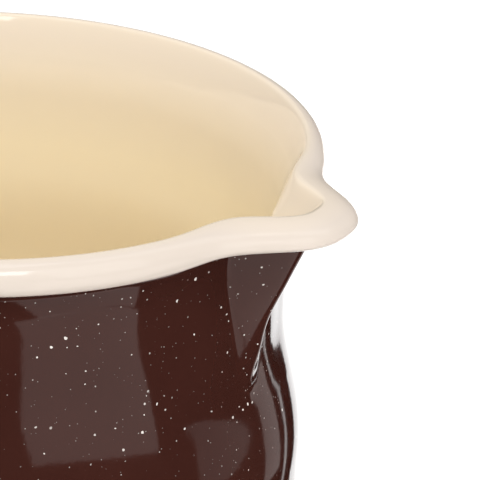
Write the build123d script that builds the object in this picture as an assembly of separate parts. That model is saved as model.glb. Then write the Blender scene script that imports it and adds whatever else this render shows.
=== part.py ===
"""Enamelled steel melting pot with a pressed pouring spout and a welded strap handle.

Millimetres, +Z up.  The origin is on the pot's axis, in the plane the pot stands on.
The spout points along +X and the handle along -X.

The pot is one deep-drawn steel shell with a rolled rim.  Four coats of glass enamel cover
it: cream inside, cream over the rolled rim, speckled brown outside and dark underneath.
The handle is a steel strap, spot-welded to the shell and enamelled with it.

Every skin of the wall is lofted through closed sections, level but for the roll's underside.  A section's plan is a
circle with the spout's V pressed out of it; a deeper skin is the same plan, moved in
along its own normal by the thickness of the layers over it.
"""
from build123d import *
from dataclasses import dataclass
from math import atan2, cos, degrees, exp, hypot, log1p, pi, radians, sin
import os

# ---- overall sizes -------------------------------------------------------------------
HEIGHT = 108.0             # standing plane to the crest of the rim
RIM_DIAMETER = 120.0       # over the rolled rim
NECK_DIAMETER = 108.8      # over the outer enamel, where the wall is narrowest
BELLY_DIAMETER = 114.2     # over the outer enamel, where the wall is widest
BASE_DIAMETER = 92.0       # outer edge of the flat ring that the pot stands on

# ---- wall ----------------------------------------------------------------------------
STEEL = 0.9                # sheet thickness of the shell
ENAMEL = 0.3               # thickness of each enamel coat
NECK_DEPTH = 30.0          # crest to the lower end of the straight neck
BELLY_DEPTH = 56.0         # crest to the widest part of the belly
BASE_CORNER = 9.0          # outside radius between wall and base
SIDE_LEAN = 14.0           # how far the wall leans out just above that corner, degrees
FLARE = 3.8                # how far the wall leans out under the rim
FLARE_DEPTH = 14.0         # crest to where that flare begins
BASE_RING_WIDTH = 5.0      # width of the flat ring that the pot stands on
BASE_RECESS = 1.0          # height of the pressed-up middle of the base
RECESS_SLOPE = 4.0         # width of the step from the ring to that middle

# ---- rolled rim ----------------------------------------------------------------------
BEAD_WIDTH = 3.0           # crest to the outer edge of the roll, in plan
BEAD_HALF_HEIGHT = 3.0     # half of the roll's height
BEAD_LOW_ANGLE = -62.0     # where the cream coat ends under the roll, degrees
RIM_COAT_DEPTH = 7.0       # crest to the lower edge of the rim coat, inside

# ---- spout ---------------------------------------------------------------------------
SPOUT_REACH = 9.0          # how far the wall's fold stands out just under the rim
SPOUT_DROP = 21.0          # depth over which the fold dies away
SPOUT_HEEL = 0.8           # small bulge where the fold runs out into the neck
SPOUT_HEEL_DEPTH = 28.0
SPOUT_END_DEPTH = 40.0     # below this the wall is round
CREASE_ANGLE = 10.6        # ridge to the crease beside it, at the crest, degrees of the plan
CREASE_RATE = 0.205        # how much that narrows with each millimetre of depth
LEAST_CREASE = 2.4         # it gets no narrower than this
CREASE_SOFTNESS = 0.06     # width of the crease, as a share of the flank
RIDGE_RADIUS = 2.4         # of the fold's blunt ridge, in plan
FOLD_ANGLE = 7.9           # half-width of the rounded fold along the crest, degrees
CREST_REACH = 8.2          # how far the crest line stands out at the tip
LIP_REACH = 11.1           # how far the roll's outer edge stands out at the tip
LIP_ANGLE = 12.0           # half-width of the lip, degrees of the plan
LIP_LIFT = 1.4             # how far the roll's underside is raised at the tip
LIP_LIFT_ANGLE = 17.0      # half-width of that, degrees of the plan
DIP = 0.65                 # how far the crest line is drawn in on each side of the spout
DIP_ANGLE = 16.0           # where that is deepest, degrees of the plan
DIP_SPREAD = 5.5
HOLLOW = 0.5               # how much further the wall under it is drawn in
HOLLOW_DEPTH = 18.0        # where that is deepest
HOLLOW_HEIGHT = 9.0
HOLLOW_SPREAD = 4.0        # how much wider it is than the crest's dip, degrees

# ---- handle --------------------------------------------------------------------------
STRAP_WIDTH = 20.0         # width of the grip
FOOT_WIDTH = 26.0          # width where the strap is welded to the wall
STRAP_THICKNESS = 1.6
STRAP_REACH = 35.0         # neck to the outside of the grip
FOOT_HEIGHT = 15.0         # height of each foot on the wall
FOOT_CORNER = 5.0          # radius of a foot's corners
UPPER_FOOT_DEPTH = 17.0    # crest to the middle of the upper foot
LOWER_FOOT_HEIGHT = 29.0   # standing plane to the middle of the lower foot
GRIP_RISE = 4.0            # how far the top of the grip climbs away from the wall
GRIP_LEAN = 4.0            # how far the foot of the grip is drawn in under its top
GRIP_BEND = 13.0           # radius of the grip's two bends
FOOT_BEND = 4.0            # radius where a foot turns away from the wall
WELD_DIAMETER = 5.0
WELD_DEPTH = 0.45          # how far a weld reaches into each of the two sheets
WELD_SPACING = 12.0        # between the two welds of a foot

WALL = 2 * ENAMEL + STEEL
OUTSIDE, STEEL_OUT, STEEL_IN, INSIDE = 0.0, ENAMEL, ENAMEL + STEEL, WALL
CREST_RADIUS = RIM_DIAMETER / 2 - BEAD_WIDTH


@dataclass
class Station:
    """One level section of a skin: a round plan with the spout's fold pressed out of it."""

    radius: float
    height: float
    tilt: float = 0.0      # of the outward normal above the horizontal, degrees
    reach: float = 0.0     # of the fold at its tip
    fold: float = FOLD_ANGLE
    power: float = 2.9     # how square the fold's shoulders are
    flat: float = 0.0      # share of the straight-sided fold in place of the rounded one
    crease: float = CREASE_ANGLE
    dip: float = 0.0       # of the plan on each side of the fold
    spread: float = DIP_SPREAD
    lift: float = 0.0      # of the section's height at the spout's tip


# ---- plan of a section ---------------------------------------------------------------
def section_angles():
    """Degrees round the plan, close together across the spout, from the back (+Y) on."""
    near = [0.8 * i for i in range(16)] + [13.2, 14.8, 16.5, 18.5]
    middle = [21.0 + 3.0 * i for i in range(6)]
    far = [44.0 + 8.5 * i for i in range(16)]
    half = near + middle + far
    full = sorted({-a for a in half} | set(half) | {180.0})
    start = min(full, key=lambda a: abs(a - 90.0))
    later = [a for a in full if a >= start]
    return later + [a + 360.0 for a in full if a < start]


ANGLES = section_angles()
PARAMETERS = [(a - ANGLES[0]) / 360.0 for a in ANGLES] + [1.0]


def fold_shape(station, turn):
    """Height of the fold at this angle from its ridge, as a share of its reach."""
    rounded = exp(-((turn / station.fold) ** station.power))
    if station.flat == 0.0:
        return rounded
    slope = station.reach / (radians(station.crease) * station.radius)
    blunt = degrees(RIDGE_RADIUS * slope / station.radius)
    share = (hypot(turn, blunt) - blunt) / (station.crease - blunt)
    straight = CREASE_SOFTNESS * log1p(exp((1.0 - share) / CREASE_SOFTNESS))
    return rounded + (straight - rounded) * station.flat


def plan_radius(station, angle):
    """Distance from the axis to the plan's outline at this angle."""
    turn = abs((angle + 180.0) % 360.0 - 180.0)
    fold = station.reach * fold_shape(station, turn)
    middle = DIP_ANGLE + station.spread - DIP_SPREAD
    drawn_in = station.dip * exp(-(((turn - middle) / station.spread) ** 2))
    return station.radius + fold - drawn_in


def plan_point(station, angle, inset):
    """The outline's point at this angle, moved in along the outline's normal."""
    step = 0.05
    r = plan_radius(station, angle)
    slope = (plan_radius(station, angle + step) - plan_radius(station, angle - step)) / radians(2 * step)
    a = radians(angle)
    normal = a - atan2(slope, r)
    return r * cos(a) - inset * cos(normal), r * sin(a) - inset * sin(normal)


def section(station, inset=0.0):
    """The closed wire of a station, for a skin that lies this far under the outermost one."""
    tilt = radians(station.tilt)
    points = []
    for angle in ANGLES:
        turn = abs((angle + 180.0) % 360.0 - 180.0)
        lift = station.lift * exp(-((turn / LIP_LIFT_ANGLE) ** 2))
        z = station.height + lift - inset * sin(tilt)
        points.append((*plan_point(station, angle, inset * cos(tilt)), z))
    return Wire([Edge.make_spline(points, periodic=True, parameters=PARAMETERS)])


# ---- profiles ------------------------------------------------------------------------
def fold_reach(depth):
    """How far the fold of the wall stands out at this depth under the crest."""
    main = SPOUT_REACH * exp(-((depth / SPOUT_DROP) ** 2.7))
    heel = SPOUT_HEEL * exp(-(((depth - SPOUT_HEEL_DEPTH) / 5.0) ** 2))
    fade = min(1.0, max(0.0, (SPOUT_END_DEPTH - depth) / 6.0))
    return (main + heel) * fade


def wall_radius(depth):
    """Radius of the outermost skin at this depth, from the rim down to the belly."""
    neck, belly = NECK_DIAMETER / 2, BELLY_DIAMETER / 2
    flare = FLARE * max(0.0, 1.0 - depth / FLARE_DEPTH) ** 2
    share = min(1.0, max(0.0, (depth - NECK_DEPTH) / (BELLY_DEPTH - NECK_DEPTH)))
    return neck + flare + (belly - neck) * (1.0 - cos(pi * share)) / 2


def wall_station(depth):
    """A section of the outermost skin, from the rim down to the belly."""
    step = 0.1
    lean = (wall_radius(depth + step) - wall_radius(depth - step)) / (2 * step)
    fade = max(0.0, 1.0 - depth / SPOUT_END_DEPTH)
    hollow = exp(-(((depth - HOLLOW_DEPTH) / HOLLOW_HEIGHT) ** 2))
    return Station(
        radius=wall_radius(depth),
        height=HEIGHT - depth,
        tilt=degrees(atan2(lean, 1.0)),
        reach=fold_reach(depth),
        flat=min(1.0, max(0.0, depth / RIM_COAT_DEPTH)),
        crease=max(CREASE_ANGLE - CREASE_RATE * depth, LEAST_CREASE),
        dip=(DIP + HOLLOW * hollow) * fade**0.5,
        spread=DIP_SPREAD + HOLLOW_SPREAD * hollow,
    )


def lower_stations():
    """Round sections from the flat base ring, round the corner, up to the belly."""
    ring, belly = BASE_DIAMETER / 2, BELLY_DIAMETER / 2
    corner = CenterArc((ring, BASE_CORNER), BASE_CORNER, -90.0, 90.0 - SIDE_LEAN)
    start, end = corner @ 1, Vector(belly, HEIGHT - BELLY_DEPTH)
    handle = (end - start).length / 3
    side = Bezier(start, start + (corner % 1) * handle, end - Vector(0, handle), end)
    found = []
    for curve, shares in ((corner, (0, 0.25, 0.5, 0.75, 1)), (side, (0.15, 0.3, 0.45, 0.6, 0.75, 0.88))):
        for share in shares:
            point, along = curve @ share, curve % share
            found.append(Station(point.X, point.Y, degrees(atan2(-along.X, along.Y))))
    return found


def body_stations():
    """Sections of the outermost skin from the base ring up to the underside of the roll."""
    depths = [56, 50, 44, 38, 34, 31, 28, 25, 22, 19, 16, 13, 10, RIM_COAT_DEPTH]
    return lower_stations() + [wall_station(d) for d in depths]


def bead_station(angle):
    """A section of the roll's outside: 0 is its outer edge, 90 the crest, -90 its underside."""
    a = radians(angle)
    out = cos(a)
    if angle >= 0:
        reach = CREST_REACH + (LIP_REACH - CREST_REACH) * out
        fold = FOLD_ANGLE + (LIP_ANGLE - FOLD_ANGLE) * out
        power = 2.9 - 0.15 * out
        dip = DIP * (1.0 - out)
        lift = 0.0
    else:
        under = 1.0 - out
        reach = LIP_REACH - 1.4 * under
        fold = LIP_ANGLE - (LIP_ANGLE - FOLD_ANGLE) * under
        power = 2.75 - 0.5 * under
        dip = DIP * under
        lift = -LIP_LIFT * sin(a)
    return Station(
        radius=CREST_RADIUS + BEAD_WIDTH * out,
        height=HEIGHT - BEAD_HALF_HEIGHT + BEAD_HALF_HEIGHT * sin(a),
        tilt=angle,
        reach=reach,
        fold=fold,
        power=power,
        dip=dip,
        lift=lift,
    )


# ---- skins and solids ----------------------------------------------------------------
def skin(sections):
    """A smooth skin through closed sections."""
    return Shell.make_loft(sections).faces()


def band(first, last):
    """A ruled strip between two closed sections."""
    return Shell.make_loft([first, last], ruled=True).faces()


def closed_solid(faces):
    """The solid inside a watertight set of faces."""
    solid = Solid(Shell(faces))
    return solid if solid.volume > 0 else Solid(Shell([-f for f in faces]))


def layer_sections(inset):
    """Sections of the wall's skin at this inset, from the base ring up to the roll."""
    return [section(s, inset) for s in body_stations()]


def bead_sections(inset):
    """Sections of the roll from its low edge, over the crest, down to the rim coat's edge."""
    over = [section(bead_station(a), inset) for a in (BEAD_LOW_ANGLE, -40, -15, 10, 35, 60, 90)]
    inward = [section(wall_station(d), WALL - inset) for d in (1.2, 4.0, RIM_COAT_DEPTH)]
    return over + inward


def bead_skin(sections):
    """The roll's skin, in two pieces that meet just inside the crest."""
    seam = len(sections) - 3
    return skin(sections[: seam + 1]) + skin(sections[seam:])


def under_sections(inset):
    """Sections from the top of the wall, under the roll, to the roll's low edge."""
    under = [section(bead_station(a), inset) for a in (-90, BEAD_LOW_ANGLE)]
    return [section(body_stations()[-1], inset)] + under


def filled_wall(inset):
    """Everything inside the wall's skin at this inset, up to the roll."""
    sections = layer_sections(inset)
    return closed_solid([*skin(sections), Face(sections[0]), Face(sections[-1])])


def base_panel(height):
    """The pressed-up middle of the base, standing on this height."""
    outer = BASE_DIAMETER / 2 - BASE_RING_WIDTH
    cone = Cone(outer, outer - RECESS_SLOPE, BASE_RECESS, align=(Align.CENTER, Align.CENTER, Align.MIN))
    return Pos(0, 0, height) * cone


# ---- the shell and its coats ---------------------------------------------------------
def make_pot_shell(welds):
    """The drawn steel pot: wall, base and rolled rim in one piece."""
    outer = layer_sections(STEEL_OUT)
    inner = layer_sections(STEEL_IN)
    faces = [*skin(outer), *skin(under_sections(STEEL_OUT)), *bead_skin(bead_sections(ENAMEL)), *skin(inner)]
    faces += [Face(outer[0]), Face(inner[0])]
    return closed_solid(faces) + base_panel(STEEL_IN) - base_panel(STEEL_OUT) - welds


def make_interior_enamel():
    """The cream coat inside, from the floor up to the rim coat."""
    outer = layer_sections(STEEL_IN)
    inner = layer_sections(INSIDE)
    faces = [*skin(outer), *skin(inner), *band(outer[-1], inner[-1]), Face(outer[0]), Face(inner[0])]
    return closed_solid(faces) + base_panel(INSIDE) - base_panel(STEEL_IN)


def make_rim_enamel():
    """The cream coat over the rolled rim."""
    outer = bead_sections(0.0)
    inner = bead_sections(ENAMEL)
    faces = [*bead_skin(outer), *bead_skin(inner), *band(outer[0], inner[0]), *band(outer[-1], inner[-1])]
    return closed_solid(faces)


def make_outer_enamel(strap):
    """The speckled coat outside, from the base ring up under the roll, round the strap's feet."""
    outer, under = layer_sections(OUTSIDE), under_sections(OUTSIDE)
    inner, under_inner = layer_sections(STEEL_OUT), under_sections(STEEL_OUT)
    faces = [*skin(outer), *skin(under), *skin(inner), *skin(under_inner)]
    faces += [*band(outer[0], inner[0]), *band(under[-1], under_inner[-1])]
    return closed_solid(faces) - strap


def make_base_enamel():
    """The dark coat under the base; its flat ring is what the pot stands on."""
    disc = Cylinder(BASE_DIAMETER / 2, ENAMEL, align=(Align.CENTER, Align.CENTER, Align.MIN))
    return disc + base_panel(ENAMEL) - base_panel(0.0)


# ---- handle --------------------------------------------------------------------------
def strap_route(thickness):
    """The strap's middle line, seen from the side, with X pointing away from the pot."""
    half = thickness / 2
    top_z, low_z = HEIGHT - UPPER_FOOT_DEPTH, LOWER_FOOT_HEIGHT
    leave_z, arrive_z = top_z - FOOT_HEIGHT / 2, low_z + FOOT_HEIGHT / 2
    top_x = wall_radius(UPPER_FOOT_DEPTH) - ENAMEL + half
    low_x = wall_radius(BELLY_DEPTH) - ENAMEL + half
    out_x = NECK_DIAMETER / 2 + STRAP_REACH - half
    return FilletPolyline(
        (top_x, top_z),
        (top_x, leave_z),
        (out_x, leave_z + GRIP_RISE),
        (out_x - GRIP_LEAN, arrive_z + GRIP_RISE),
        (low_x, arrive_z),
        (low_x, low_z),
        radius=[FOOT_BEND, GRIP_BEND, GRIP_BEND, FOOT_BEND],
    )


def strap_foot(middle, grow):
    """One foot: a sheet wrapped on the steel wall, with rounded corners."""
    sheet = [section(Station(s.radius, s.height, s.tilt), ENAMEL - STRAP_THICKNESS - grow) for s in body_stations()]
    wrapped = closed_solid([*skin(sheet), Face(sheet[0]), Face(sheet[-1])])
    outline = RectangleRounded(FOOT_WIDTH + 2 * grow, FOOT_HEIGHT + 2 * grow, FOOT_CORNER + grow)
    window = extrude(Plane.YZ.offset(-BELLY_DIAMETER) * Pos(0, middle) * outline, BELLY_DIAMETER)
    return wrapped & window


def strap_shape(grow):
    """The handle's outside: the bare strap when grow is 0, or the strap with its coat."""
    side = Plane.XZ * trace(strap_route(STRAP_THICKNESS), STRAP_THICKNESS + 2 * grow)
    loop = extrude(side, STRAP_WIDTH / 2 + grow, both=True).rotate(Axis.Z, 180)
    feet = [strap_foot(z, grow) for z in (HEIGHT - UPPER_FOOT_DEPTH, LOWER_FOOT_HEIGHT)]
    return loop + feet[0] + feet[1]


def make_welds(middle, radius):
    """The two spot welds of a foot: buttons that reach into the strap and the shell."""
    wall_x = (radius**2 - (WELD_SPACING / 2) ** 2) ** 0.5
    button = Rot(0, 90, 0) * Cylinder(WELD_DIAMETER / 2, 2 * WELD_DEPTH)
    places = [(-wall_x, side * WELD_SPACING / 2, middle) for side in (-1, 1)]
    return [Pos(*place) * button for place in places]


def write(name, shape):
    shape.label = name
    export_step(shape, f"parts/{name}.step")


def main():
    os.makedirs("parts", exist_ok=True)
    upper_z, lower_z = HEIGHT - UPPER_FOOT_DEPTH, LOWER_FOOT_HEIGHT
    upper_welds = make_welds(upper_z, wall_radius(UPPER_FOOT_DEPTH) - ENAMEL)
    lower_welds = make_welds(lower_z, wall_radius(BELLY_DEPTH) - ENAMEL)
    welds = upper_welds + lower_welds
    bare = strap_shape(0.0) - filled_wall(STEEL_OUT)
    coat = strap_shape(ENAMEL) - filled_wall(OUTSIDE) - bare

    write("pot_shell", make_pot_shell(welds))
    write("interior_enamel", make_interior_enamel())
    write("rim_enamel", make_rim_enamel())
    write("outer_enamel", make_outer_enamel(bare))
    write("base_enamel", make_base_enamel())
    write("handle_strap", bare - welds)
    write("handle_enamel", coat)
    write("upper_handle_welds", Compound(upper_welds))
    write("lower_handle_welds", Compound(lower_welds))


main()
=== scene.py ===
from math import asin, atan2, ceil, cos, degrees, exp, hypot, log1p, pi, radians, sin, tan
import bpy
from mathutils import Matrix, Vector


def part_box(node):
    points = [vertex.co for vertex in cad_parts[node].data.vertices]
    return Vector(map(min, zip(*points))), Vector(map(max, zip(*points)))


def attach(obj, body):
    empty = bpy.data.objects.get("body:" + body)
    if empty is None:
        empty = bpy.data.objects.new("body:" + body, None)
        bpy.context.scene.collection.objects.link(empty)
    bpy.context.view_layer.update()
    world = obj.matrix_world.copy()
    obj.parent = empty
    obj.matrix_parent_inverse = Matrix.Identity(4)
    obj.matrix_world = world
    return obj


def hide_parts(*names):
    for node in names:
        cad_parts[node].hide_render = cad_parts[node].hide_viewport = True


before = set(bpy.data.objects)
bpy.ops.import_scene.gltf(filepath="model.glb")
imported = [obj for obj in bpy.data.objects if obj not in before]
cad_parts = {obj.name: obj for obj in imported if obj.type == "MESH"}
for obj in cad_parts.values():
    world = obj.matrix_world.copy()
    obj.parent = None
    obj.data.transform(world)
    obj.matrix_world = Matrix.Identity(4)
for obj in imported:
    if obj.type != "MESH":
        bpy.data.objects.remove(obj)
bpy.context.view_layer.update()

MM = 0.001

# ---- sizes read from the bounds of the CAD parts in model.glb --------------------------
rim_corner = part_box("rim_enamel")[1]
HEIGHT = rim_corner.z / MM                  # millimetres from here on
RIM_RADIUS = rim_corner.y / MM
BELLY_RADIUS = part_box("outer_enamel")[1].y / MM
BASE_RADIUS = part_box("base_enamel")[1].x / MM

# ---- sizes of the wall, in millimetres, as the CAD model has them -----------------------
NECK_RADIUS = 54.4
STEEL, ENAMEL = 0.9, 0.3
WALL = STEEL + 2 * ENAMEL
NECK_DEPTH, BELLY_DEPTH = 30.0, 56.0
BASE_CORNER, CORNER_LEAN = 9.0, 14.0
FLARE, FLARE_DEPTH = 3.8, 14.0
BASE_RING_WIDTH, BASE_RECESS, RECESS_SLOPE = 5.0, 1.0, 4.0
BEAD_WIDTH, BEAD_HALF_HEIGHT, BEAD_LOW_ANGLE = 3.0, 3.0, -62.0
RIM_COAT_DEPTH = 7.0
SPOUT_REACH, SPOUT_DROP, SPOUT_DROP_POWER, SPOUT_END_DEPTH, SPOUT_FADE = 9.0, 21.0, 2.7, 40.0, 6.0
SPOUT_HEEL, SPOUT_HEEL_DEPTH, SPOUT_HEEL_HEIGHT = 0.8, 28.0, 5.0
CREASE_ANGLE, CREASE_RATE, LEAST_CREASE = 10.6, 0.205, 2.4
CREASE_SOFTNESS, OUTER_RIDGE, INNER_RIDGE = 0.06, 1.1, 2.4
FOLD_ANGLE, FOLD_POWER = 7.9, 2.9            # half width of the rounded fold, and how square it is
OUTER_FOLD_POWER, UNDER_FOLD_EASE = 2.75, 0.5    # the same on the roll, and its loss under it
CREST_REACH, LIP_REACH, LIP_ANGLE, LIP_UNDERCUT = 8.2, 11.1, 12.0, 1.4
LIP_LIFT, LIP_LIFT_ANGLE = 1.4, 17.0
DIP, DIP_ANGLE, DIP_SPREAD = 0.65, 16.0, 5.5
HOLLOW, HOLLOW_DEPTH, HOLLOW_HEIGHT, HOLLOW_SPREAD = 0.5, 18.0, 9.0, 4.0
CREST_RADIUS = RIM_RADIUS - BEAD_WIDTH

# ---- sizes of the handle, in millimetres, as the CAD model has them ---------------------
STRAP_WIDTH, STRAP_THICKNESS, STRAP_REACH = 20.0, 1.6, 35.0
FOOT_WIDTH, FOOT_HEIGHT, FOOT_CORNER = 26.0, 15.0, 5.0
UPPER_FOOT_DEPTH, LOWER_FOOT_HEIGHT = 17.0, 29.0
GRIP_RISE, GRIP_LEAN = 4.0, 4.0
STRAP_BENDS = (4.0, 13.0, 13.0, 4.0)
WELD_DIAMETER, WELD_SPACING = 5.0, 12.0

# ---- sizes of the handle that only the look has, in millimetres --------------------------
STRAP_FLARE, STRAP_FLARE_START, STRAP_FLARE_LENGTH = 1.9, 6.0, 9.0
STRAP_CURL, STRAP_CURL_START, STRAP_CURL_LENGTH = 0.55, 12.0, 14.0
FOOT_MARGIN, FOOT_FILLET_OUT, FOOT_FILLET_WIDTH = 1.2, 0.9, 2.1
WELD_DIMPLE, FOOT_EDGE_SINK, FOOT_BACK_SINK = 0.28, 0.06, 0.15

# ---- how far the edge of the cream glaze wanders, as waves: (count round, phase, share) ---
EDGE_WAVES = ((11, 0.4, 1.0), (23, 2.0, 0.8), (47, 1.1, 0.6), (83, 3.0, 0.5))
EDGE_WANDER = 1.1                           # degrees of the roll

# ---- the point that the reflection cards stand round, and their distance, in metres -------
CARD_EYE = Vector((48.0, -15.0, HEIGHT - 22.0)) * MM
CARD_DISTANCE = 0.9


# ---- camera ----------------------------------------------------------------------------
def make_camera():
    """A long lens, close to the rim, that shows the spout's half of the pot from above."""
    cam = bpy.data.objects.new("camera", bpy.data.cameras.new("camera"))
    bpy.context.scene.collection.objects.link(cam)
    cam.data.sensor_width, cam.data.lens = 36.0, 225.0
    cam.data.clip_start, cam.data.clip_end = 0.01, 50.0
    azimuth, elevation, roll = radians(27.0), radians(23.33), radians(2.86)
    aim = Vector((44.2, 14.8, HEIGHT - 16.0)) * MM
    distance = 505.9 * MM
    back = Vector((sin(azimuth) * cos(elevation), -cos(azimuth) * cos(elevation), sin(elevation)))
    right = Vector((cos(azimuth), sin(azimuth), 0.0))
    up = back.cross(right)
    rolled_right = right * cos(roll) + up * sin(roll)
    rolled_up = back.cross(rolled_right)
    turn = Matrix((rolled_right, rolled_up, back)).transposed()
    cam.matrix_world = Matrix.Translation(aim + back * distance) @ turn.to_4x4()
    bpy.context.scene.camera = cam


# ---- the wall's shape ------------------------------------------------------------------
class Station:
    """One closed section of a skin: a round plan with the spout's fold pressed out of it."""

    def __init__(self, radius, height, tilt=0.0, reach=0.0, fold=FOLD_ANGLE, power=FOLD_POWER,
                 dip=0.0, spread=DIP_SPREAD, lift=0.0, flat=0.0, crease=CREASE_ANGLE):
        self.radius, self.height, self.tilt = radius, height, tilt
        self.reach, self.fold, self.power = reach, fold, power
        self.dip, self.spread, self.lift = dip, spread, lift
        self.flat, self.crease = flat, crease

    def fold_shape(self, turn, ridge):
        """The fold's share of its reach, this many degrees from the spout's middle."""
        rounded = exp(-((turn / self.fold) ** self.power))
        if self.flat == 0.0:
            return rounded
        slope = self.reach / (radians(self.crease) * self.radius)
        blunt = degrees(ridge * slope / self.radius)
        share = (hypot(turn, blunt) - blunt) / (self.crease - blunt)
        straight = CREASE_SOFTNESS * log1p(exp((1.0 - share) / CREASE_SOFTNESS))
        return rounded + (straight - rounded) * self.flat

    def plan(self, angle, ridge):
        """The section's radius at this angle, with the fold and the dips beside it."""
        turn = abs((angle + 180.0) % 360.0 - 180.0)
        fold = self.reach * self.fold_shape(turn, ridge)
        middle = DIP_ANGLE + self.spread - DIP_SPREAD
        return self.radius + fold - self.dip * exp(-(((turn - middle) / self.spread) ** 2))

    def point(self, angle, inset):
        """The point at this angle of the skin that lies this far under the outermost one."""
        turn = abs((angle + 180.0) % 360.0 - 180.0)
        tilt, a = radians(self.tilt), radians(angle)
        ridge = INNER_RIDGE if inset > ENAMEL else OUTER_RIDGE
        r = self.plan(angle, ridge)
        slope = (self.plan(angle + 0.05, ridge) - self.plan(angle - 0.05, ridge)) / radians(0.1)
        normal = a - atan2(slope, r)
        level = inset * cos(tilt)
        z = self.height + self.lift * exp(-((turn / LIP_LIFT_ANGLE) ** 2)) - inset * sin(tilt)
        return Vector((r * cos(a) - level * cos(normal), r * sin(a) - level * sin(normal), z)) * MM


def ring(station, inset, angles):
    """The skin's points all round one section."""
    return [station.point(angle, inset) for angle in angles]


def fold_reach(depth):
    """How far the spout's fold stands out from the round wall, this far under the crest."""
    main = SPOUT_REACH * exp(-((depth / SPOUT_DROP) ** SPOUT_DROP_POWER))
    heel = SPOUT_HEEL * exp(-(((depth - SPOUT_HEEL_DEPTH) / SPOUT_HEEL_HEIGHT) ** 2))
    fade = min(1.0, max(0.0, (SPOUT_END_DEPTH - depth) / SPOUT_FADE))
    return (main + heel) * fade


def wall_radius(depth):
    """The round wall's outside radius, from the flared rim through the neck to the belly."""
    flare = FLARE * max(0.0, 1.0 - depth / FLARE_DEPTH) ** 2
    share = min(1.0, max(0.0, (depth - NECK_DEPTH) / (BELLY_DEPTH - NECK_DEPTH)))
    return NECK_RADIUS + flare + (BELLY_RADIUS - NECK_RADIUS) * (1.0 - cos(pi * share)) / 2


def wall_station(depth):
    """The section of the wall this far under the crest, down to the belly."""
    lean = (wall_radius(depth + 0.1) - wall_radius(depth - 0.1)) / 0.2
    fade = max(0.0, 1.0 - depth / SPOUT_END_DEPTH)
    hollow = exp(-(((depth - HOLLOW_DEPTH) / HOLLOW_HEIGHT) ** 2))
    return Station(
        wall_radius(depth), HEIGHT - depth, degrees(atan2(lean, 1.0)), fold_reach(depth),
        dip=(DIP + HOLLOW * hollow) * fade**0.5, spread=DIP_SPREAD + HOLLOW_SPREAD * hollow,
        flat=min(1.0, max(0.0, depth / RIM_COAT_DEPTH)),
        crease=max(CREASE_ANGLE - CREASE_RATE * depth, LEAST_CREASE))


def lower_stations():
    """Round sections from the base ring, round the corner, up to the belly."""
    found = []
    sweep = 90.0 - CORNER_LEAN
    for i in range(13):
        a = radians(-90.0 + sweep * i / 12)
        found.append(Station(BASE_RADIUS + BASE_CORNER * cos(a), BASE_CORNER + BASE_CORNER * sin(a),
                             -90.0 + sweep * i / 12))
    end = radians(-CORNER_LEAN)
    low = Vector((found[-1].radius, found[-1].height))
    high = Vector((BELLY_RADIUS, HEIGHT - BELLY_DEPTH))
    reach = (high - low).length
    leave = Vector((-sin(end), cos(end))) * reach
    arrive = Vector((0.0, 1.0)) * reach
    for i in range(1, 24):
        t = i / 24
        p = (low * (2 * t**3 - 3 * t**2 + 1) + leave * (t**3 - 2 * t**2 + t)
             + high * (3 * t**2 - 2 * t**3) + arrive * (t**3 - t**2))
        d = (low * (6 * t**2 - 6 * t) + leave * (3 * t**2 - 4 * t + 1)
             + high * (6 * t - 6 * t**2) + arrive * (3 * t**2 - 2 * t))
        found.append(Station(p.x, p.y, atan2(-d.x, d.y) * 180 / pi))
    return found


def bead_station(angle):
    """A section of the roll's outside: 0 is its outer edge, 90 the crest, -90 its underside."""
    out = cos(radians(angle))
    if angle >= 0:
        reach = CREST_REACH + (LIP_REACH - CREST_REACH) * out
        fold = FOLD_ANGLE + (LIP_ANGLE - FOLD_ANGLE) * out
        power = FOLD_POWER + (OUTER_FOLD_POWER - FOLD_POWER) * out
        dip, lift = DIP * (1.0 - out), 0.0
    else:
        under = 1.0 - out
        reach = LIP_REACH - LIP_UNDERCUT * under
        fold = LIP_ANGLE - (LIP_ANGLE - FOLD_ANGLE) * under
        power = OUTER_FOLD_POWER - UNDER_FOLD_EASE * under
        dip, lift = DIP * under, -LIP_LIFT * sin(radians(angle))
    height = HEIGHT - BEAD_HALF_HEIGHT + BEAD_HALF_HEIGHT * sin(radians(angle))
    return Station(CREST_RADIUS + BEAD_WIDTH * out, height, angle, reach, fold, power, dip, lift=lift)


def low_edge(angle):
    """Where the cream glaze stops under the roll, in degrees of the roll."""
    a = radians(angle)
    wander = sum(share * sin(count * a + phase) for count, phase, share in EDGE_WAVES)
    return BEAD_LOW_ANGLE + EDGE_WANDER * wander


def steps(first, last, count):
    """Evenly spaced values, both ends included."""
    return [first + (last - first) * i / count for i in range(count + 1)]


def plan_angles():
    """Degrees round the plan, closest together across the spout."""
    near = steps(-13.0, 13.0, 64)
    beside = steps(13.0, 40.0, 30)
    far = steps(40.0, 320.0, 130)
    return near + beside[1:] + far[1:-1] + [-a for a in beside[:0:-1]]


ANGLES = plan_angles()


def smooth_rings(rings, per_gap):
    """More rings between the given ones, on a spline through each column of points."""
    count = len(rings)
    out = []
    for i in range(count - 1):
        a, b = rings[max(0, i - 1)], rings[i]
        c, d = rings[i + 1], rings[min(count - 1, i + 2)]
        for k in range(per_gap):
            t = k / per_gap
            row = []
            for p0, p1, p2, p3 in zip(a, b, c, d):
                row.append(0.5 * (2 * p1 + (p2 - p0) * t + (2 * p0 - 5 * p1 + 4 * p2 - p3) * t * t
                                  + (3 * p1 - p0 - 3 * p2 + p3) * t**3))
            out.append(row)
    return out + [rings[-1]]


# ---- mesh building ---------------------------------------------------------------------
def make_piece(name, mesh, material):
    """A named piece of the root body, in one material."""
    piece = bpy.data.objects.new(name, mesh)
    bpy.context.scene.collection.objects.link(piece)
    mesh.materials.append(material)
    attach(piece, "root")
    return piece


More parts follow.
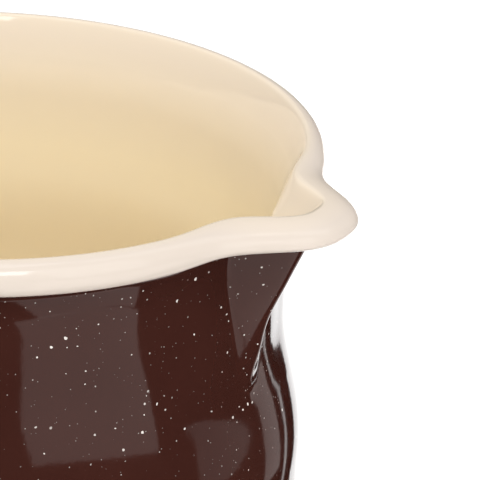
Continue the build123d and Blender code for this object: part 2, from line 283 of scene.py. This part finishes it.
def smooth_mesh(name, verts, faces):
    """A smooth-shaded mesh."""
    mesh = bpy.data.meshes.new(name)
    mesh.from_pydata(verts, [], faces)
    mesh.shade_smooth()
    mesh.update()
    return mesh


def ring_mesh(name, rings, loop, caps=(None, None)):
    """Quads between the rings; loop joins the last to the first, and a cap is a centre point."""
    n = len(rings[0])
    verts = [p for row in rings for p in row]
    faces = []
    pairs = [(i, i + 1) for i in range(len(rings) - 1)] + ([(len(rings) - 1, 0)] if loop else [])
    for a, b in pairs:
        for j in range(n):
            k = (j + 1) % n
            faces.append((a * n + j, a * n + k, b * n + k, b * n + j))
    for centre, row, turn in ((caps[0], 0, -1), (caps[1], len(rings) - 1, 1)):
        if centre is not None:
            verts.append(centre)
            mid = len(verts) - 1
            for j in range(n):
                corner = (row * n + j, row * n + (j + 1) % n, mid)
                faces.append(corner if turn > 0 else corner[::-1])
    return smooth_mesh(name, verts, faces)


def roll_rings(inset, first, last, count):
    """Rings round the roll between two of its angles, or functions that give them by plan angle."""
    rings = []
    for i in range(count + 1):
        row = []
        for angle in ANGLES:
            low = first(angle) if callable(first) else first
            high = last(angle) if callable(last) else last
            row.append(bead_station(low + (high - low) * i / count).point(angle, inset))
        rings.append(row)
    return rings


def wall_rings(inset):
    """Rings from the base ring up the wall to the depth where the roll begins."""
    depths = steps(BELLY_DEPTH, RIM_COAT_DEPTH, 49)
    return [ring(s, inset, ANGLES) for s in lower_stations() + [wall_station(d) for d in depths]]


def outer_skin(inset):
    """Rings up the wall and round the underside of the roll to the cream glaze's edge."""
    wall = wall_rings(inset)
    under = roll_rings(inset, -90.0, low_edge, 4)
    return wall[:-1] + smooth_rings([wall[-1], under[0]], 4)[:-1] + under


def bead_skin(inset):
    """Rings from the roll's low edge, round its outside, over the crest and down inside."""
    over = roll_rings(inset, low_edge, 90.0, 28)
    inward = [ring(wall_station(d), WALL - inset, ANGLES) for d in (1.2, 4.0, RIM_COAT_DEPTH)]
    turn = smooth_rings([over[-1]] + inward, 8)
    return over + turn[1:]


def floor_rings(inset, outer_radius):
    """Level rings across the base, from the wall's corner in to the pressed-up middle."""
    edge = BASE_RADIUS - BASE_RING_WIDTH
    top = edge - RECESS_SLOPE
    radii = [(outer_radius, 0.0), (edge + 0.6, 0.0), (edge - 0.4, 0.06), (edge - RECESS_SLOPE / 2, 0.5),
             (top + 0.4, 0.94), (top - 0.6, 1.0), (12.0, 1.0)]
    rings = []
    for radius, lift in radii:
        z = inset + lift * BASE_RECESS
        turns = [radians(angle) for angle in ANGLES]
        rings.append([Vector((radius * cos(a), radius * sin(a), z)) * MM for a in turns])
    return rings


def centre_point(inset):
    """Where a skin's pressed-up base crosses the pot's axis."""
    return Vector((0.0, 0.0, inset + BASE_RECESS)) * MM


def make_cream_coat(material):
    """The cream glaze inside and over the roll, as one closed sheet."""
    back = floor_rings(ENAMEL + STEEL, BASE_RADIUS - 2.0)[::-1] + wall_rings(ENAMEL + STEEL)[:-1]
    over = bead_skin(ENAMEL)[::-1] + bead_skin(0.0)
    front = wall_rings(WALL)[::-1][1:] + floor_rings(WALL, BASE_RADIUS - 2.0)
    ends = centre_point(ENAMEL + STEEL), centre_point(WALL)
    mesh = ring_mesh("cream_coat", back + over + front, False, ends)
    piece = make_piece("cream_coat", mesh, material)
    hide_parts("interior_enamel", "rim_enamel")


def make_brown_coat(material):
    """The brown glaze outside, a closed sheet from the base ring to the cream glaze's edge."""
    rings = outer_skin(0.0) + outer_skin(ENAMEL)[::-1]
    piece = make_piece("brown_coat", ring_mesh("brown_coat", rings, True), material)
    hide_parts("outer_enamel")


def make_steel_shell(material):
    """The steel between the coats, on the same sections as they are."""
    under = floor_rings(ENAMEL, BASE_RADIUS - 2.0)[::-1]
    inner = wall_rings(ENAMEL + STEEL)[::-1][1:] + floor_rings(ENAMEL + STEEL, BASE_RADIUS - 2.0)
    rings = under + outer_skin(ENAMEL) + bead_skin(ENAMEL)[1:] + inner
    ends = centre_point(ENAMEL), centre_point(ENAMEL + STEEL)
    mesh = ring_mesh("steel_shell", rings, False, ends)
    piece = make_piece("steel_shell", mesh, material)
    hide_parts("pot_shell")


# ---- the handle ------------------------------------------------------------------------
def handle_route():
    """The strap's middle line seen from the side, as (away from the axis, up), in millimetres."""
    half = STRAP_THICKNESS / 2
    top_z, low_z = HEIGHT - UPPER_FOOT_DEPTH, LOWER_FOOT_HEIGHT
    leave_z, arrive_z = top_z - FOOT_HEIGHT / 2, low_z + FOOT_HEIGHT / 2
    top_x, low_x = NECK_RADIUS - ENAMEL + half, BELLY_RADIUS - ENAMEL + half
    out_x = NECK_RADIUS + STRAP_REACH - half
    corners = [Vector(p) for p in (
        (top_x, top_z), (top_x, leave_z), (out_x, leave_z + GRIP_RISE),
        (out_x - GRIP_LEAN, arrive_z + GRIP_RISE), (low_x, arrive_z), (low_x, low_z))]
    route = [corners[0]]
    for before, corner, after, bend in zip(corners, corners[1:], corners[2:], STRAP_BENDS):
        a, b = (before - corner).normalized(), (after - corner).normalized()
        half_angle = a.angle(b) / 2
        trim = bend / tan(half_angle)
        centre = corner + (a + b).normalized() * bend / sin(half_angle)
        first, last = corner + a * trim - centre, corner + b * trim - centre
        sweep = first.angle(last)
        count = ceil(sweep * bend / 0.5)
        for k in range(count + 1):
            t = k / count
            route.append(centre + (first * sin((1 - t) * sweep) + last * sin(t * sweep)) / sin(sweep))
    route.append(corners[-1])
    dense = [route[0]]
    for p in route[1:]:
        gap = (p - dense[-1]).length
        start = dense[-1]
        parts = max(1, ceil(gap / 0.8))
        dense += [start.lerp(p, (i + 1) / parts) for i in range(parts)]
    return dense


def strap_section(half_width, half_thickness, curl):
    """Outline across the strap as (sideways, outward): round edges, and sides curled to the pot."""
    flat = half_width - half_thickness
    top = [(-flat + 2 * flat * i / 20, half_thickness) for i in range(21)]
    turns = [pi * i / 10 for i in range(1, 10)]
    half = top + [(flat + half_thickness * sin(a), half_thickness * cos(a)) for a in turns]
    outline = half + [(-y, -h) for y, h in half]
    return [(y, h - curl * (y / half_width) ** 2) for y, h in outline]


def strap_parts(grow):
    """Vertices and faces of the swept strap, its steel when grow is 0 or its coat's outside."""
    route = handle_route()
    length = [0.0]
    for a, b in zip(route, route[1:]):
        length.append(length[-1] + (b - a).length)
    last = len(route) - 1
    verts, faces = [], []
    for i, p in enumerate(route):
        along = (route[min(i + 1, last)] - route[max(i - 1, 0)]).normalized()
        out = Vector((-along.y, along.x))
        near = min(length[i], length[-1] - length[i])
        flare = STRAP_FLARE * exp(-((max(0.0, near - STRAP_FLARE_START) / STRAP_FLARE_LENGTH) ** 2))
        curl = STRAP_CURL * min(1.0, max(0.0, (near - STRAP_CURL_START) / STRAP_CURL_LENGTH))
        for y, h in strap_section(STRAP_WIDTH / 2 + grow + flare, STRAP_THICKNESS / 2 + grow, curl):
            q = p + out * h
            verts.append(Vector((-q.x, y, q.y)) * MM)
    n = len(verts) // len(route)
    for i in range(last):
        for j in range(n):
            k = (j + 1) % n
            faces.append((i * n + j, i * n + k, (i + 1) * n + k, (i + 1) * n + j))
    faces.append(tuple(range(n))[::-1])
    faces.append(tuple(range(last * n, (last + 1) * n)))
    return verts, faces


def foot_parts(middle, grow):
    """Vertices and faces of one foot: a pad that the glaze joins softly to the wall."""
    half_w, half_h, corner = FOOT_WIDTH / 2 + grow, FOOT_HEIGHT / 2 + grow, FOOT_CORNER + grow
    columns = steps(-half_w - FOOT_MARGIN, half_w + FOOT_MARGIN, 76)
    rows = steps(-half_h - FOOT_MARGIN, half_h + FOOT_MARGIN, 48)
    lift = STRAP_THICKNESS + grow - ENAMEL
    front, back = [], []
    for z in rows:
        radius = wall_radius(HEIGHT - middle - z)
        for y in columns:
            qx, qz = abs(y) - half_w + corner, abs(z) - half_h + corner
            outside = hypot(max(qx, 0.0), max(qz, 0.0)) + min(max(qx, qz), 0.0) - corner
            share = min(1.0, max(0.0, (FOOT_FILLET_OUT - outside) / FOOT_FILLET_WIDTH))
            height = lift * share * share * (3 - 2 * share)
            for side in (-1, 1):
                weld = hypot(y - side * WELD_SPACING / 2, z) / (WELD_DIAMETER / 2)
                height -= WELD_DIMPLE * exp(-(weld**4)) * share
            a = asin(y / radius)
            sink = FOOT_EDGE_SINK if share == 0.0 else 0.0
            for shape, r in ((front, radius + height - sink), (back, radius - FOOT_BACK_SINK)):
                shape.append(Vector((-r * cos(a), r * sin(a), middle + z)) * MM)
    n, m = len(columns), len(rows)
    count = n * m
    faces = []
    for i in range(m - 1):
        for j in range(n - 1):
            a, b, c, d = i * n + j, i * n + j + 1, (i + 1) * n + j + 1, (i + 1) * n + j
            faces += [(d, c, b, a), (count + a, count + b, count + c, count + d)]
    edge = list(range(n)) + [i * n + n - 1 for i in range(1, m)]
    edge += [(m - 1) * n + j for j in range(n - 2, -1, -1)] + [i * n for i in range(m - 2, 0, -1)]
    for a, b in zip(edge, edge[1:] + edge[:1]):
        faces.append((a, b, count + b, count + a))
    return front + back, faces


def make_handle(name, grow, material, node):
    """The strap and its two feet as one piece, which stands in for one node."""
    verts, faces = [], []
    for more_verts, more_faces in (strap_parts(grow), foot_parts(HEIGHT - UPPER_FOOT_DEPTH, grow),
                                   foot_parts(LOWER_FOOT_HEIGHT, grow)):
        first = len(verts)
        verts += more_verts
        faces += [tuple(first + i for i in face) for face in more_faces]
    piece = make_piece(name, smooth_mesh(name, verts, faces), material)
    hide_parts(node)


# ---- materials -------------------------------------------------------------------------
def new_material(name, roughness):
    """A material with its nodes, their links and its shader."""
    m = bpy.data.materials.new(name)
    m.use_nodes = True
    nodes = m.node_tree.nodes
    shader = nodes["Principled BSDF"]
    shader.inputs["Roughness"].default_value = roughness
    shader.inputs["IOR"].default_value = 1.5
    return m, nodes, m.node_tree.links, shader


def add(nodes, kind, **inputs):
    """A node with these values on its sockets."""
    node = nodes.new(kind)
    for key, value in inputs.items():
        node.inputs[key.replace("_", " ")].default_value = value
    return node


def math_node(nodes, links, operation, a, b, clamp=False):
    """The output of a math node on a and b, each a socket or a number."""
    node = nodes.new("ShaderNodeMath")
    node.operation = operation
    node.use_clamp = clamp
    for socket, value in zip(node.inputs, (a, b)):
        if isinstance(value, (int, float)):
            socket.default_value = value
        else:
            links.new(value, socket)
    return node.outputs[0]


def mix_colour(nodes, links, share, a, b):
    """A colour between a and b, each a socket or a colour."""
    node = nodes.new("ShaderNodeMix")
    node.data_type = "RGBA"
    for socket, value in ((node.inputs[0], share), (node.inputs[6], a), (node.inputs[7], b)):
        if isinstance(value, (int, float, tuple)):
            socket.default_value = value
        else:
            links.new(value, socket)
    return node.outputs[2]


def object_coordinates(nodes):
    """Where a point is in the piece's own space, in metres."""
    return nodes.new("ShaderNodeTexCoord").outputs["Object"]


def bent_coordinates(nodes, links, warp, warp_scale):
    """Object coordinates, bent a little by noise so that flecks aren't perfect discs."""
    coords = object_coordinates(nodes)
    noise = add(nodes, "ShaderNodeTexNoise", Scale=warp_scale, Detail=1.0)
    links.new(coords, noise.inputs["Vector"])
    shift = nodes.new("ShaderNodeVectorMath")
    shift.operation = "SUBTRACT"
    links.new(noise.outputs["Color"], shift.inputs[0])
    shift.inputs[1].default_value = (0.5, 0.5, 0.5)
    scaled = nodes.new("ShaderNodeVectorMath")
    scaled.operation = "SCALE"
    links.new(shift.outputs[0], scaled.inputs[0])
    scaled.inputs["Scale"].default_value = warp
    moved = nodes.new("ShaderNodeVectorMath")
    moved.operation = "ADD"
    links.new(coords, moved.inputs[0])
    links.new(scaled.outputs[0], moved.inputs[1])
    return moved.outputs[0]


def flecks(nodes, links, coords, cell, radius, presence, seed):
    """A mask of scattered grains: cell is their spacing, radius their size, in millimetres."""
    shift = nodes.new("ShaderNodeVectorMath")
    shift.operation = "ADD"
    links.new(coords, shift.inputs[0])
    shift.inputs[1].default_value = (seed * 0.137, seed * 0.071, seed * 0.193)
    cells = add(nodes, "ShaderNodeTexVoronoi", Scale=1.0 / (cell * MM), Randomness=1.0)
    links.new(shift.outputs[0], cells.inputs["Vector"])
    parts = nodes.new("ShaderNodeSeparateColor")
    links.new(cells.outputs["Color"], parts.inputs[0])
    there = math_node(nodes, links, "LESS_THAN", parts.outputs[0], presence)
    size = math_node(nodes, links, "MULTIPLY_ADD", parts.outputs[1], radius * 0.75 / cell)
    size.node.inputs[2].default_value = radius * 0.25 / cell
    gap = math_node(nodes, links, "SUBTRACT", size, cells.outputs["Distance"])
    edge = math_node(nodes, links, "MULTIPLY", gap, cell / 0.05, clamp=True)
    strength = math_node(nodes, links, "MULTIPLY_ADD", parts.outputs[2], 0.6)
    strength.node.inputs[2].default_value = 0.4
    shown = math_node(nodes, links, "MULTIPLY", edge, there)
    return math_node(nodes, links, "MULTIPLY", shown, strength)


def enamel_surface(nodes, links, shader, coords, ripple, grain):
    """The slow ripple and fine orange peel of fired glass."""
    slow = add(nodes, "ShaderNodeTexNoise", Scale=70.0, Detail=2.0)
    fine = add(nodes, "ShaderNodeTexNoise", Scale=900.0, Detail=2.0)
    for noise in (slow, fine):
        links.new(coords, noise.inputs["Vector"])
    first = add(nodes, "ShaderNodeBump", Strength=ripple, Distance=0.0006)
    second = add(nodes, "ShaderNodeBump", Strength=grain, Distance=0.00004)
    links.new(slow.outputs["Fac"], first.inputs["Height"])
    links.new(fine.outputs["Fac"], second.inputs["Height"])
    links.new(first.outputs["Normal"], second.inputs["Normal"])
    links.new(second.outputs["Normal"], shader.inputs["Normal"])


def facing_out(nodes, links):
    """How far a surface faces away from the pot's axis: 1 outside, 0 on top of the roll, -1 inside."""
    coords = nodes.new("ShaderNodeTexCoord")
    level = nodes.new("ShaderNodeVectorMath")
    level.operation = "MULTIPLY"
    links.new(coords.outputs["Object"], level.inputs[0])
    level.inputs[1].default_value = (1.0, 1.0, 0.0)
    away = nodes.new("ShaderNodeVectorMath")
    away.operation = "NORMALIZE"
    links.new(level.outputs[0], away.inputs[0])
    dot = nodes.new("ShaderNodeVectorMath")
    dot.operation = "DOT_PRODUCT"
    links.new(away.outputs[0], dot.inputs[0])
    links.new(coords.outputs["Normal"], dot.inputs[1])
    return dot.outputs["Value"]


def cream_enamel():
    """Cream glaze: paler and pinker on the roll, warmer down inside the pot; with painted light, as the
    roll is painted darker where it catches more light and the inside lighter against its shade.
    """
    m, nodes, links, shader = new_material("cream_enamel", 0.09)
    coords = object_coordinates(nodes)
    cloud = add(nodes, "ShaderNodeTexNoise", Scale=35.0, Detail=4.0)
    links.new(coords, cloud.inputs["Vector"])
    # painted light: the way the surface faces picks between the roll's cream, painted darker, and the
    # inside's cream, painted lighter
    inside = nodes.new("ShaderNodeMapRange")
    inside.inputs["From Min"].default_value = 0.45
    inside.inputs["From Max"].default_value = -0.35
    links.new(facing_out(nodes, links), inside.inputs["Value"])
    # the roll's cream, painted darker to make up for the extra light that the roll catches
    roll = mix_colour(nodes, links, cloud.outputs["Fac"], (0.66, 0.575, 0.5, 1), (0.69, 0.605, 0.53, 1))
    parts = nodes.new("ShaderNodeSeparateXYZ")
    links.new(coords, parts.inputs[0])
    # painted shade lift: the inside's cream grows lighter with depth, to make up for the shade down in
    # the pot
    shade_lift_by_depth = nodes.new("ShaderNodeMapRange")
    shade_lift_by_depth.inputs["From Min"].default_value = (HEIGHT - 3.0) * MM
    shade_lift_by_depth.inputs["From Max"].default_value = (HEIGHT - 24.0) * MM
    links.new(parts.outputs["Z"], shade_lift_by_depth.inputs["Value"])
    # the deepest cream, painted lighter against the shade down in the pot
    low = mix_colour(nodes, links, cloud.outputs["Fac"], (0.94, 0.815, 0.57, 1), (0.96, 0.84, 0.61, 1))
    shade_lifted_inside = mix_colour(nodes, links, shade_lift_by_depth.outputs["Result"], (0.8, 0.69, 0.555, 1), low)
    base = mix_colour(nodes, links, inside.outputs["Result"], roll, shade_lifted_inside)
    bent = bent_coordinates(nodes, links, 0.0002, 1500.0)
    specks = flecks(nodes, links, bent, 4.0, 0.16, 0.35, 5)
    faint = math_node(nodes, links, "MULTIPLY", specks, 0.45)
    colour = mix_colour(nodes, links, faint, base, (0.4, 0.27, 0.16, 1))
    links.new(colour, shader.inputs["Base Color"])
    enamel_surface(nodes, links, shader, coords, 0.14, 0.12)
    return m


def brown_enamel():
    """Dark brown glaze with white grains of three sizes."""
    m, nodes, links, shader = new_material("brown_enamel", 0.07)
    coords = object_coordinates(nodes)
    cloud = add(nodes, "ShaderNodeTexNoise", Scale=45.0, Detail=4.0)
    links.new(coords, cloud.inputs["Vector"])
    dark, light = (0.034, 0.0098, 0.0069, 1), (0.053, 0.017, 0.0123, 1)
    base = mix_colour(nodes, links, cloud.outputs["Fac"], dark, light)
    bent = bent_coordinates(nodes, links, 0.0005, 1100.0)
    grains = [(1.6, 0.31, 0.16, 1), (1.1, 0.2, 0.32, 2), (0.75, 0.12, 0.5, 3)]
    large, medium, small = [flecks(nodes, links, bent, *grain) for grain in grains]
    faint = math_node(nodes, links, "MULTIPLY", small, 0.5)
    clear = math_node(nodes, links, "MAXIMUM", large, medium)
    mask = math_node(nodes, links, "MAXIMUM", clear, faint)
    colour = mix_colour(nodes, links, mask, base, (0.86, 0.8, 0.74, 1))
    links.new(colour, shader.inputs["Base Color"])
    enamel_surface(nodes, links, shader, coords, 0.12, 0.15)
    return m


def ground_enamel():
    """The dark, duller coat under the base."""
    m, nodes, links, shader = new_material("ground_enamel", 0.3)
    coords = object_coordinates(nodes)
    cloud = add(nodes, "ShaderNodeTexNoise", Scale=120.0, Detail=6.0)
    links.new(coords, cloud.inputs["Vector"])
    dark, light = (0.008, 0.007, 0.008, 1), (0.03, 0.027, 0.028, 1)
    base = mix_colour(nodes, links, cloud.outputs["Fac"], dark, light)
    links.new(base, shader.inputs["Base Color"])
    enamel_surface(nodes, links, shader, coords, 0.2, 0.4)
    return m


def bare_steel():
    """The sheet under the coats and the welds."""
    m, nodes, links, shader = new_material("bare_steel", 0.4)
    shader.inputs["Metallic"].default_value = 1.0
    coords = object_coordinates(nodes)
    grain = add(nodes, "ShaderNodeTexNoise", Scale=400.0, Detail=5.0)
    links.new(coords, grain.inputs["Vector"])
    colour = mix_colour(nodes, links, grain.outputs["Fac"], (0.35, 0.35, 0.36, 1), (0.5, 0.5, 0.51, 1))
    links.new(colour, shader.inputs["Base Color"])
    return m


def finish_node(name, material):
    """Gives a CAD node its procedural material."""
    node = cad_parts[name]
    node.data.materials.clear()
    node.data.materials.append(material)


# ---- studio ----------------------------------------------------------------------------
def make_floor():
    """A white floor that is left out of the reflections."""
    mesh = bpy.data.meshes.new("floor")
    size = 6.0
    corners = [(-size, -size, 0), (size, -size, 0), (size, size, 0), (-size, size, 0)]
    mesh.from_pydata(corners, [], [(0, 1, 2, 3)])
    floor = bpy.data.objects.new("floor", mesh)
    bpy.context.scene.collection.objects.link(floor)
    m, *_, shader = new_material("floor", 0.9)
    shader.inputs["Base Color"].default_value = (0.95, 0.95, 0.95, 1)
    shader.inputs["Emission Color"].default_value = (1.0, 1.0, 1.0, 1)
    shader.inputs["Emission Strength"].default_value = 0.1
    mesh.materials.append(m)
    floor.visible_glossy = False


def add_card(name, place, target, size, power, glossy_only=False, colour=(1, 1, 1)):
    """A rectangular studio light, or a white card that only reflections see."""
    light = bpy.data.lights.new(name, "AREA")
    light.shape = "RECTANGLE"
    light.size, light.size_y = size
    light.energy = power
    light.color = colour
    obj = bpy.data.objects.new(name, light)
    obj.location = place
    obj.rotation_mode = "QUATERNION"
    obj.rotation_quaternion = (Vector(target) - Vector(place)).to_track_quat("-Z", "Y")
    bpy.context.scene.collection.objects.link(obj)
    obj.visible_camera = False
    if glossy_only:
        obj.visible_diffuse = False


def reflected_card(name, azimuths, elevations, strength, colour=(1.0, 1.0, 1.0)):
    """A card that fills this part of what the spout's side reflects, in degrees round it."""
    middle, height = radians(sum(azimuths) / 2), radians(sum(elevations) / 2)
    way = Vector((cos(middle) * cos(height), sin(middle) * cos(height), sin(height)))
    wide = 2 * CARD_DISTANCE * tan(radians(azimuths[1] - azimuths[0]) / 2) * cos(height)
    tall = 2 * CARD_DISTANCE * tan(radians(elevations[1] - elevations[0]) / 2)
    place, power = CARD_EYE + way * CARD_DISTANCE, strength * pi * wide * tall
    add_card(name, place, CARD_EYE, (wide, tall), power, True, colour)


def make_studio():
    """Even white light from all round, two lamps, and the cards that the glaze reflects."""
    world = bpy.data.worlds.new("studio")
    world.use_nodes = True
    background = world.node_tree.nodes["Background"]
    background.inputs["Color"].default_value = (1, 1, 1, 1)
    background.inputs["Strength"].default_value = 1.0
    world.cycles_visibility.glossy = False
    bpy.context.scene.world = world
    add_card("overhead", (-0.05, 0.0, 1.1), (0, 0, 0.05), (0.5, 0.5), 1.0)
    add_card("softbox", (0.42, -0.62, 0.85), (0, 0.03, 0.06), (0.5, 0.4), 3.6)
    warm = (1.0, 0.88, 0.85)
    reflected_card("front_panel", (-40.0, 12.0), (-38.0, -10.0), 0.8, warm)
    reflected_card("front_low", (-40.0, 18.0), (-66.0, -38.0), 0.8, warm)
    reflected_card("ridge_low", (56.0, 86.0), (-64.0, -31.0), 1.0, warm)
    reflected_card("rim_box", (-35.0, 0.0), (2.0, 58.0), 0.7)
    reflected_card("lip_box", (28.0, 66.0), (44.0, 74.0), 0.7)
    reflected_card("right_low", (90.0, 130.0), (-42.0, -4.0), 1.9)
    reflected_card("right_strip", (77.0, 79.5), (-45.0, -8.0), 1.1)
    reflected_card("right_panel", (60.0, 72.0), (-24.0, -9.0), 0.65, warm)
    reflected_card("middle_panel", (24.0, 58.0), (-13.5, -3.0), 0.42, warm)


# ---- the scene -------------------------------------------------------------------------
bpy.context.scene.view_settings.view_transform = "Standard"
make_camera()
make_studio()
make_floor()

CREAM, BROWN, GROUND, STEEL_LOOK = cream_enamel(), brown_enamel(), ground_enamel(), bare_steel()
make_cream_coat(CREAM)
make_brown_coat(BROWN)
make_steel_shell(STEEL_LOOK)
make_handle("handle_coat", ENAMEL, BROWN, "handle_enamel")
make_handle("handle_core", 0.0, STEEL_LOOK, "handle_strap")
for node_name in ("upper_handle_welds", "lower_handle_welds"):
    finish_node(node_name, STEEL_LOOK)
finish_node("base_enamel", GROUND)
